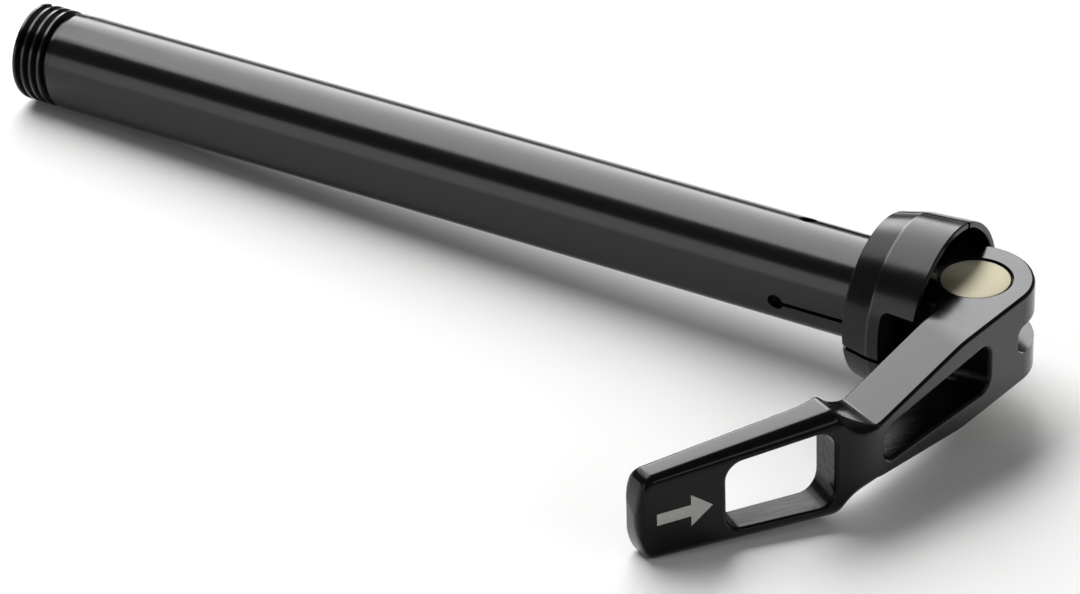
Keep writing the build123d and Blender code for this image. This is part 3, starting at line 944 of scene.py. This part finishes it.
def edge_radius(sizes, point, normal):
    """Rounding of the lever's edge: soft round the grip, softest at the outer knee, crisp elsewhere."""
    outer = Vector((math.cos(GRIP_TURN), -math.sin(GRIP_TURN)))
    place = valley_place(point) / MM
    side = ramp(normal.dot(outer), -OUTER_SHARE, OUTER_SHARE)
    grip = sizes.inner_edge + (sizes.soft_edge - sizes.inner_edge) * side
    grip += (sizes.tip_edge - grip) * ramp(place, *TIP_EDGES)
    radius = sizes.crisp_edge + (grip - sizes.crisp_edge) * ramp(place, *SOFT_EDGES)
    at_knee = side * ramp(place, *KNEE_RISE) * (1 - ramp(place, *KNEE_FALL))
    return radius + (sizes.knee_edge - radius) * at_knee


# The least half height, so that the lever's two halves never touch
THINNEST = 0.02 * MM


def lever_shell(sizes):
    """The lever before its windows are cut, about the pin's axis."""
    plan, heights = lever_plan(sizes), half_heights()
    work = bmesh.new()
    drop = work.verts.layers.float.new("drop")
    rings = []
    radii = [edge_radius(sizes, point, normal) for point, normal in plan]
    for step in range(EDGE_STEPS + 1):
        swing = math.pi / 2 * step / EDGE_STEPS
        ring = []
        for (point, normal), radius in zip(plan, radii):
            inset = point - normal * radius * (1 - math.cos(swing))
            vertex = work.verts.new((inset.x, inset.y, 0))
            vertex[drop] = radius * (1 - math.sin(swing))
            ring.append(vertex)
        rings.append(ring)
    bridge(work, rings)
    work.faces.new(rings[-1])
    lowest = min(valley_place(point) for point, _ in plan)
    highest = max(valley_place(point) for point, _ in plan)
    direction = Vector((-math.sin(VALLEY_TURN), -math.cos(VALLEY_TURN), 0))
    places = [place for place, _ in heights if lowest < place < highest - MM / 100]
    places += [place * MM for place in EXTRA_PLACES]
    for place in sorted(places):
        bmesh.ops.bisect_plane(
            work, geom=work.verts[:] + work.edges[:] + work.faces[:], dist=MM / 1e4,
            plane_co=direction * place, plane_no=direction,
        )
    for vertex in work.verts:
        height = along_table(heights, valley_place(vertex.co))
        vertex.co.z = max(height - min(vertex[drop], height / 2), THINNEST)
    border = [edge for edge in work.edges if len(edge.link_faces) == 1]
    below = {vertex: work.verts.new((vertex.co.x, vertex.co.y, -vertex.co.z)) for vertex in list(work.verts)}
    for face in list(work.faces):
        work.faces.new([below[vertex] for vertex in reversed(face.verts)])
    for edge in border:
        first, last = edge.verts
        work.faces.new([first, last, below[last], below[first]])
    return new_piece("polished_lever", mesh_from(work, "polished_lever"))


# How far apart points may be on the lever's plan and on a window's outline
PLAN_SPACING = 0.2 * MM
OUTLINE_SPACING = 0.8 * MM


def dense(loop, spacing):
    """A loop of (point, normal) pairs with points put in so that no two neighbours are far apart."""
    made = []
    for (point, normal), (after, _) in zip(loop, loop[1:] + loop[:1]):
        pieces = max(math.ceil((after - point).length / spacing), 1)
        made += [(point.lerp(after, i / pieces), normal) for i in range(pieces)]
    return made


def side_depths(plan, window, place):
    """How deep the lever's outer and inner sides lie along a window: tables of (along, depth) pairs."""
    start, end = (window[0][0] - DEPTH_MARGIN) * MM, (window[1][0] + DEPTH_MARGIN) * MM
    back = place.inverted()
    outer, inner = [], []
    for point, normal in dense(plan, PLAN_SPACING):
        along, _, depth = back @ point.to_3d()
        inward = (back.to_3x3() @ normal.to_3d()).z
        if start < along < end and abs(inward) > FACE_SHARE:
            (inner if inward > 0 else outer).append((along, depth))
    return sorted(outer), sorted(inner)


# In roundings: a window's cutter flares to FLARE at FLARE_RISE above the lever's side. The rounding
# itself starts at FIRST_SWING, short of flat.
FLARE = 1.6
FLARE_RISE = 0.12
FIRST_SWING = math.radians(10)


def window_cutter(name, outline, outer, inner, edge, place):
    """A cutter for a window, rounded where it meets the outer and the inner side.

    outline is (point, outward normal) pairs in u and v. outer and inner are tables of depths w
    along u. edge is (outer rounding, inner rounding), and place takes (u, v, w) to the lever.
    """
    rings = []
    for table, radius, inward in ((outer, edge[0], 1), (inner, edge[1], -1)):
        wide = radius * FLARE
        part = [(None, -inward, wide), (table, -radius * FLARE_RISE * inward, wide)]
        for step in range(EDGE_STEPS + 1):
            swing = FIRST_SWING + (math.pi / 2 - FIRST_SWING) * step / EDGE_STEPS
            part.append((table, radius * (1 - math.cos(swing)) * inward, radius * (1 - math.sin(swing))))
        rings += part if inward > 0 else part[::-1]
    work = bmesh.new()
    loops = []
    for table, shift, widen in rings:
        loop = []
        for point, normal in outline:
            grown = point + normal * widen
            # the two ends lie well clear of the lever
            depth = shift * OVERRUN if table is None else along_table(table, grown.x) + shift
            loop.append(work.verts.new(place @ Vector((grown.x, grown.y, depth))))
        loops.append(loop)
    bridge(work, loops)
    work.faces.new(loops[0])
    work.faces.new(loops[-1])
    return new_piece(name, mesh_from(work, name))


def window_outline(window, radius):
    """(point, outward normal) pairs of a tapered window, clockwise."""
    (start, start_half), (end, end_half) = window
    corners = [(start, -start_half), (start, start_half), (end, end_half), (end, -end_half)]
    corners = [Vector(corner) * MM for corner in corners]
    return dense(rounded_loop(corners, [radius * MM] * 4, SHORT_ARC_STEPS), OUTLINE_SPACING)


def on_window_wall(face):
    """Whether a face of the lever belongs to the walls of a window."""
    for window, place in ((ARM_WINDOW, ARM_PLACE), (GRIP_WINDOW, GRIP_PLACE)):
        back = place.inverted()
        centre, normal = back @ face.center / MM, back.to_3x3() @ face.normal
        (start, start_half), (end, _) = window
        within = start - WALL_MARGIN < centre.x < end + WALL_MARGIN
        if within and abs(centre.y) < start_half + WALL_MARGIN and abs(normal.z) < FACE_SHARE:
            return True
    return False


def lever_cutters(sizes):
    """The two windows, the gap between the cheeks and the eye."""
    plan, edge = lever_plan(sizes), sizes.window_edge
    cutters = []
    for name, window, radius, inner_edge, place in (
        ("arm_window_cutter", ARM_WINDOW, ARM_WINDOW_ROUND, edge * ARM_INNER_SHARE, ARM_PLACE),
        ("grip_window_cutter", GRIP_WINDOW, GRIP_WINDOW_ROUND, edge, GRIP_PLACE),
    ):
        outline, depths = window_outline(window, radius), side_depths(plan, window, place)
        cutters.append(window_cutter(name, outline, *depths, (edge, inner_edge), place))
    half, end, corner = sizes.cheek_gap / 2, sizes.cheek_gap_end, sizes.cheek_gap_corner
    corners = [Vector(p) for p in ((end, -half), (end, half), (OVERRUN, half), (OVERRUN, -half))]
    outline = [tuple(point) for point, _ in rounded_loop(corners, [corner, corner, MM / 10, MM / 10])]
    cutters.append(prism("cheek_gap_cutter", outline, -OVERRUN, OVERRUN, UPRIGHT))
    radius, bevel, top = sizes.eye_radius, sizes.eye_chamfer, CHEEK_HALF * MM
    profile = [(-top * 2, 0), (-top * 2, radius + bevel + top), (-top + bevel, radius)]
    profile += [(top - bevel, radius), (top * 2, radius + bevel + top), (top * 2, 0)]
    eye = turned("eye_cutter", profile, EYE_FACETS)
    eye.data.transform(Matrix.Rotation(-math.pi / 2, 4, "Y"))
    return cutters + [eye]


class THRU_AXLE_OT_lever(bpy.types.Operator):
    """Makes the forged lever with its softened edges and windows"""

    bl_idname = "thru_axle.lever"
    bl_label = "Lever"

    def execute(self, context):
        sizes, colours = context.scene.lever_sizes, context.scene.finish_colours
        lever = cut(lever_shell(sizes), lever_cutters(sizes))
        for face in lever.data.polygons:
            face.material_index = 1 if on_window_wall(face) else 0
        lever.data.transform(Matrix.Translation((sizes.pivot, 0, 0)))
        shade_by_angle(lever, degrees=32)
        finishes = [polished_black_forging(colours), black_forging_skin(colours)]
        finish_piece(lever, finishes, "lever", "polished_black", "lever")
        return {"FINISHED"}


# How far the mark stands out, so that it shows on the face
ARROW_RISE = 0.01 * MM


class THRU_AXLE_OT_arrow(bpy.types.Operator):
    """Makes the plain etched arrow on the grip's outer face"""

    bl_idname = "thru_axle.arrow"
    bl_label = "Etched arrow"

    def execute(self, context):
        sizes, colours = context.scene.arrow_sizes, context.scene.finish_colours
        tail, tip = sizes.start, sizes.start + sizes.length
        neck = tail + sizes.head_length
        outline = [
            (tail, 0), (neck, sizes.head_half), (neck, sizes.shaft_half), (tip, sizes.shaft_half),
            (tip, -sizes.shaft_half), (neck, -sizes.shaft_half), (neck, -sizes.head_half),
        ]
        place = Matrix.Translation((context.scene.lever_sizes.pivot, 0, 0)) @ GRIP_PLACE
        arrow = prism("etched_arrow", outline, -ARROW_RISE, 2 * ARROW_RISE, place)
        finish_piece(arrow, [laser_etched(colours)], "lever", "polished_black")
        return {"FINISHED"}


# The pin and the inner pieces


# Where the middle point of a broken edge lies, as a share of the edge length
EDGE_MIDDLE = 0.4


def softened(profile, edge):
    """A closed line of (x, radius) points with its corners off the axis cut by an edge length."""
    made = []
    for i, point in enumerate(profile):
        before, after = Vector(profile[i - 1]), Vector(profile[(i + 1) % len(profile)])
        corner = Vector(point)
        if point[1] < ON_AXIS:
            made.append(point)
            continue
        made.append(tuple(corner + (before - corner).normalized() * edge))
        made.append(tuple(corner + ((before + after) / 2 - corner).normalized() * edge * EDGE_MIDDLE))
        made.append(tuple(corner + (after - corner).normalized() * edge))
    return made


class THRU_AXLE_OT_pin(bpy.types.Operator):
    """Makes the champagne pivot pin with its cross hole"""

    bl_idname = "thru_axle.pin"
    bl_label = "Pivot pin"

    def execute(self, context):
        sizes, colours = context.scene.inner_sizes, context.scene.finish_colours
        pivot = context.scene.lever_sizes.pivot
        half, radius = sizes.pin_half, sizes.pin_radius
        profile = softened([(-half, 0), (-half, radius), (half, radius), (half, 0)], sizes.pin_edge)
        pin = turned("champagne_pin", profile)
        pin.data.transform(Matrix.Translation((pivot, 0, 0)) @ Matrix.Rotation(-math.pi / 2, 4, "Y"))
        hole = [(0, 0), (0, sizes.hole_radius), (2 * OVERRUN, sizes.hole_radius), (2 * OVERRUN, 0)]
        cut(pin, [turned("cross_hole_cutter", hole, HOLE_FACETS)])
        shade_by_angle(pin, degrees=50)
        finish_piece(pin, [champagne_anodised(colours, pivot)], "draw", "champagne_anodised", "pivot_pin")
        return {"FINISHED"}


def turned_visual(node, profile, edge, facets, cutters=()):
    """The visual piece of a node that is turned about the axle's axis, cut by prisms along it.

    cutters is (outline, low, high) rows.
    """
    piece = turned(f"{node}_visual", softened(profile, edge), facets)
    if cutters:
        cut(piece, [prism(f"{node}_cutter", *cutter, UPRIGHT) for cutter in cutters])
    shade_turned(piece, Vector((1, 0, 0)), Vector((0, 0, 0)))
    return piece


class THRU_AXLE_OT_bolt(bpy.types.Operator):
    """Makes the draw bolt with the socket for its key"""

    bl_idname = "thru_axle.bolt"
    bl_label = "Draw bolt"

    def execute(self, context):
        sizes, colours = context.scene.inner_sizes, context.scene.finish_colours
        start = sizes.bolt_head_start
        head_end = start + sizes.bolt_head_length
        profile = [
            (start, 0), (start, sizes.bolt_head_radius), (head_end, sizes.bolt_head_radius),
            (head_end, sizes.bolt_radius), (sizes.bolt_tip, sizes.bolt_radius), (sizes.bolt_tip, 0),
        ]
        hexagon = regular_outline(sizes.socket_flats / math.sqrt(3), 6)
        socket = (hexagon, start - MM, start + sizes.socket_depth)
        bolt = turned_visual("draw_bolt", profile, sizes.edge, BOLT_FACETS, [socket])
        steel = machined("plain_steel", colours.steel, 1.0, 0.32, 0.5 * MM)
        finish_piece(bolt, [steel], "bolt", "bolt_steel", "draw_bolt")
        return {"FINISHED"}


class THRU_AXLE_OT_wedge(bpy.types.Operator):
    """Makes the cone that spreads the head"""

    bl_idname = "thru_axle.wedge"
    bl_label = "Expander wedge"

    def execute(self, context):
        sizes, colours = context.scene.inner_sizes, context.scene.finish_colours
        hole, head_end = sizes.hole_radius, sizes.bolt_head_start + sizes.bolt_head_length
        profile = [
            (sizes.wedge_tail, sizes.counterbore), (sizes.wedge_tail, sizes.wedge_radius),
            (sizes.wedge_shoulder, sizes.wedge_radius), (sizes.wedge_nose, sizes.wedge_nose_radius),
            (sizes.wedge_nose, hole), (head_end, hole), (head_end, sizes.counterbore),
        ]
        wedge = turned_visual("expander_wedge", profile, sizes.edge, WEDGE_FACETS)
        bare = machined("turned_aluminium", colours.aluminium, 1.0, 0.28, 0.4 * MM)
        finish_piece(wedge, [bare], "wedge", "turned_aluminium", "expander_wedge")
        return {"FINISHED"}


class THRU_AXLE_OT_seat(bpy.types.Operator):
    """Makes the cam seat with its channel and the spring's pocket"""

    bl_idname = "thru_axle.seat"
    bl_label = "Cam seat"

    def execute(self, context):
        sizes, colours = context.scene.inner_sizes, context.scene.finish_colours
        floor, hole = context.scene.axle_sizes.cup_floor, sizes.hole_radius
        top = sizes.seat_top + sizes.channel_depth
        pocket = floor + sizes.pocket_depth
        profile = [
            (floor, sizes.pocket_radius), (floor, sizes.seat_radius), (top, sizes.seat_radius),
            (top, hole), (pocket, hole), (pocket, sizes.pocket_radius),
        ]
        half, wide = sizes.channel_half, sizes.seat_radius * CLEAR
        outline = [(-wide, -half), (-wide, half), (wide, half), (wide, -half)]
        channel = (outline, sizes.seat_top, top + MM)
        seat = turned_visual("cam_seat", profile, sizes.edge, SEAT_FACETS, [channel])
        acetal = machined("black_acetal", colours.acetal, 0.0, 0.5, 0.4 * MM)
        finish_piece(seat, [acetal], "seat", "black_polymer", "cam_seat")
        return {"FINISHED"}


class THRU_AXLE_OT_spring(bpy.types.Operator):
    """Makes the release spring from the solid's"""

    bl_idname = "thru_axle.spring"
    bl_label = "Release spring"

    def execute(self, context):
        spring = smooth_copy("release_spring", "release_spring_visual", degrees=40)
        wire = machined("drawn_spring_steel", context.scene.finish_colours.steel, 1.0, 0.25, 0.3 * MM)
        finish_piece(spring, [wire], "seat", "spring_steel", "release_spring")
        return {"FINISHED"}


# The stage

# A plane that touches the thread's end, the cup's rim and the lever's tip: normal and distance
REST_NORMAL = Vector((0.0375, 0.0999, 0.9943)).normalized()
REST_DISTANCE = -12.97


# Name, place along X, degrees from overhead towards the camera, reach, width, height in metres, and
# setting. The gap between the top and the front mirrors as the dark band along the tube.
SOFTBOXES = (
    ("back_softbox", -0.785, -52.3, 1.4, 0.73, 1.17, "key"),
    ("top_softbox", -0.785, -6.7, 1.4, 0.73, 1.17, "key"),
    ("front_softbox", -0.785, 73.0, 1.4, 0.73, 0.86, "front"),
    ("right_softbox", 1.7, 10.0, 0.9, 0.8, 1.6, "sides"),
    ("left_softbox", -1.6, -29.5, 1.4, 0.86, 2.0, "sides"),
)
# Half the side of the square floor, in metres, and the width of the camera's sensor, in millimetres
FLOOR_REACH = 6.0
SENSOR_WIDTH = 36


def add_softbox(name, x, turn, reach, width, height, radiance):
    """A rectangular lamp that stands along X, faces the X axis and is turned about it from overhead."""
    lamp = bpy.data.lights.new(name, "AREA")
    lamp.shape = "RECTANGLE"
    lamp.size, lamp.size_y = width, height
    # an area lamp of P watts and A square metres has a radiance of P / 4A
    lamp.energy = radiance * 4 * width * height
    holder = bpy.data.objects.new(name, lamp)
    bpy.context.scene.collection.objects.link(holder)
    tilt = Matrix.Rotation(math.radians(turn), 4, "X")
    holder.matrix_world = Matrix.Translation((x, 0, 0)) @ tilt @ Matrix.Translation((0, 0, reach))


class THRU_AXLE_OT_stage(bpy.types.Operator):
    """Makes the floor, the light and the camera"""

    bl_idname = "thru_axle.stage"
    bl_label = "Stage"

    def execute(self, context):
        scene, colours = context.scene, context.scene.finish_colours
        settings = scene.stage_settings
        work = bmesh.new()
        bmesh.ops.create_grid(work, x_segments=8, y_segments=8, size=FLOOR_REACH)
        mesh = mesh_from(work, "studio_floor")
        tilt = REST_NORMAL.to_track_quat("Z", "X").to_matrix().to_4x4()
        mesh.transform(Matrix.Translation(REST_NORMAL * REST_DISTANCE * MM) @ tilt)
        mesh.materials.append(studio_paper(colours))
        new_piece("studio_floor", mesh)
        for name, *place, strength in SOFTBOXES:
            add_softbox(name, *place, getattr(settings, strength))
        world = bpy.data.worlds.new("even_studio")
        world.use_nodes = True
        tree = world.node_tree
        tree.nodes.clear()
        even = add_node(tree, "ShaderNodeBackground", Color=(1, 1, 1, 1), Strength=settings.fill)
        add_node(tree, "ShaderNodeOutputWorld", Surface=even.outputs[0])
        scene.world = world
        self.add_camera(scene, settings)
        scene.view_settings.view_transform = "Standard"
        return {"FINISHED"}

    def add_camera(self, scene, settings):
        """Puts the camera where the photo was taken."""
        turn, lift = settings.azimuth, settings.elevation
        back = Vector((math.sin(turn) * math.cos(lift), -math.cos(turn) * math.cos(lift), math.sin(lift)))
        right = (-back).cross(Vector((0, 0, 1))).normalized()
        up = right.cross(-back)
        roll_cos, roll_sin = math.cos(settings.roll), math.sin(settings.roll)
        rolled_right = right * roll_cos + up * roll_sin
        rolled_up = up * roll_cos - right * roll_sin
        look_at = Vector((settings.look_along, 0, 0)) + rolled_up * settings.look_up
        lens = bpy.data.cameras.new("photo_camera")
        lens.sensor_fit = "HORIZONTAL"
        lens.sensor_width = SENSOR_WIDTH
        lens.lens = settings.lens
        lens.clip_start = 0.01
        camera = bpy.data.objects.new("photo_camera", lens)
        scene.collection.objects.link(camera)
        camera.matrix_world = axes(rolled_right, rolled_up, back, look_at + back * settings.distance)
        scene.camera = camera


class THRU_AXLE_PT_panel(bpy.types.Panel):
    """Lists the steps that make the thru axle"""

    bl_idname = "THRU_AXLE_PT_panel"
    bl_label = "Thru Axle"
    bl_space_type = "VIEW_3D"
    bl_region_type = "UI"
    bl_category = "Thru Axle"

    def draw(self, context):
        for step in STEPS:
            self.layout.operator(step.bl_idname)


SETTINGS = {
    "axle_sizes": AxleSizes,
    "thread_sizes": ThreadSizes,
    "lever_sizes": LeverSizes,
    "inner_sizes": InnerSizes,
    "arrow_sizes": ArrowSizes,
    "finish_colours": FinishColours,
    "stage_settings": StageSettings,
}
STEPS = (
    THRU_AXLE_OT_axle,
    THRU_AXLE_OT_thread,
    THRU_AXLE_OT_lever,
    THRU_AXLE_OT_arrow,
    THRU_AXLE_OT_pin,
    THRU_AXLE_OT_bolt,
    THRU_AXLE_OT_wedge,
    THRU_AXLE_OT_seat,
    THRU_AXLE_OT_spring,
    THRU_AXLE_OT_stage,
)


def register():
    """Adds the settings, the steps and the panel."""
    for name, group in SETTINGS.items():
        bpy.utils.register_class(group)
        setattr(bpy.types.Scene, name, bpy.props.PointerProperty(type=group))
    for step in (*STEPS, THRU_AXLE_PT_panel):
        bpy.utils.register_class(step)


def unregister():
    """Takes the panel, the steps and the settings away again."""
    for step in reversed((*STEPS, THRU_AXLE_PT_panel)):
        bpy.utils.unregister_class(step)
    for name, group in reversed(SETTINGS.items()):
        delattr(bpy.types.Scene, name)
        bpy.utils.unregister_class(group)


def main():
    """Makes every piece and the stage."""
    register()
    bpy.ops.thru_axle.axle()
    bpy.ops.thru_axle.thread()
    bpy.ops.thru_axle.lever()
    bpy.ops.thru_axle.arrow()
    bpy.ops.thru_axle.pin()
    bpy.ops.thru_axle.bolt()
    bpy.ops.thru_axle.wedge()
    bpy.ops.thru_axle.seat()
    bpy.ops.thru_axle.spring()
    bpy.ops.thru_axle.stage()


if __name__ == "__main__":
    main()
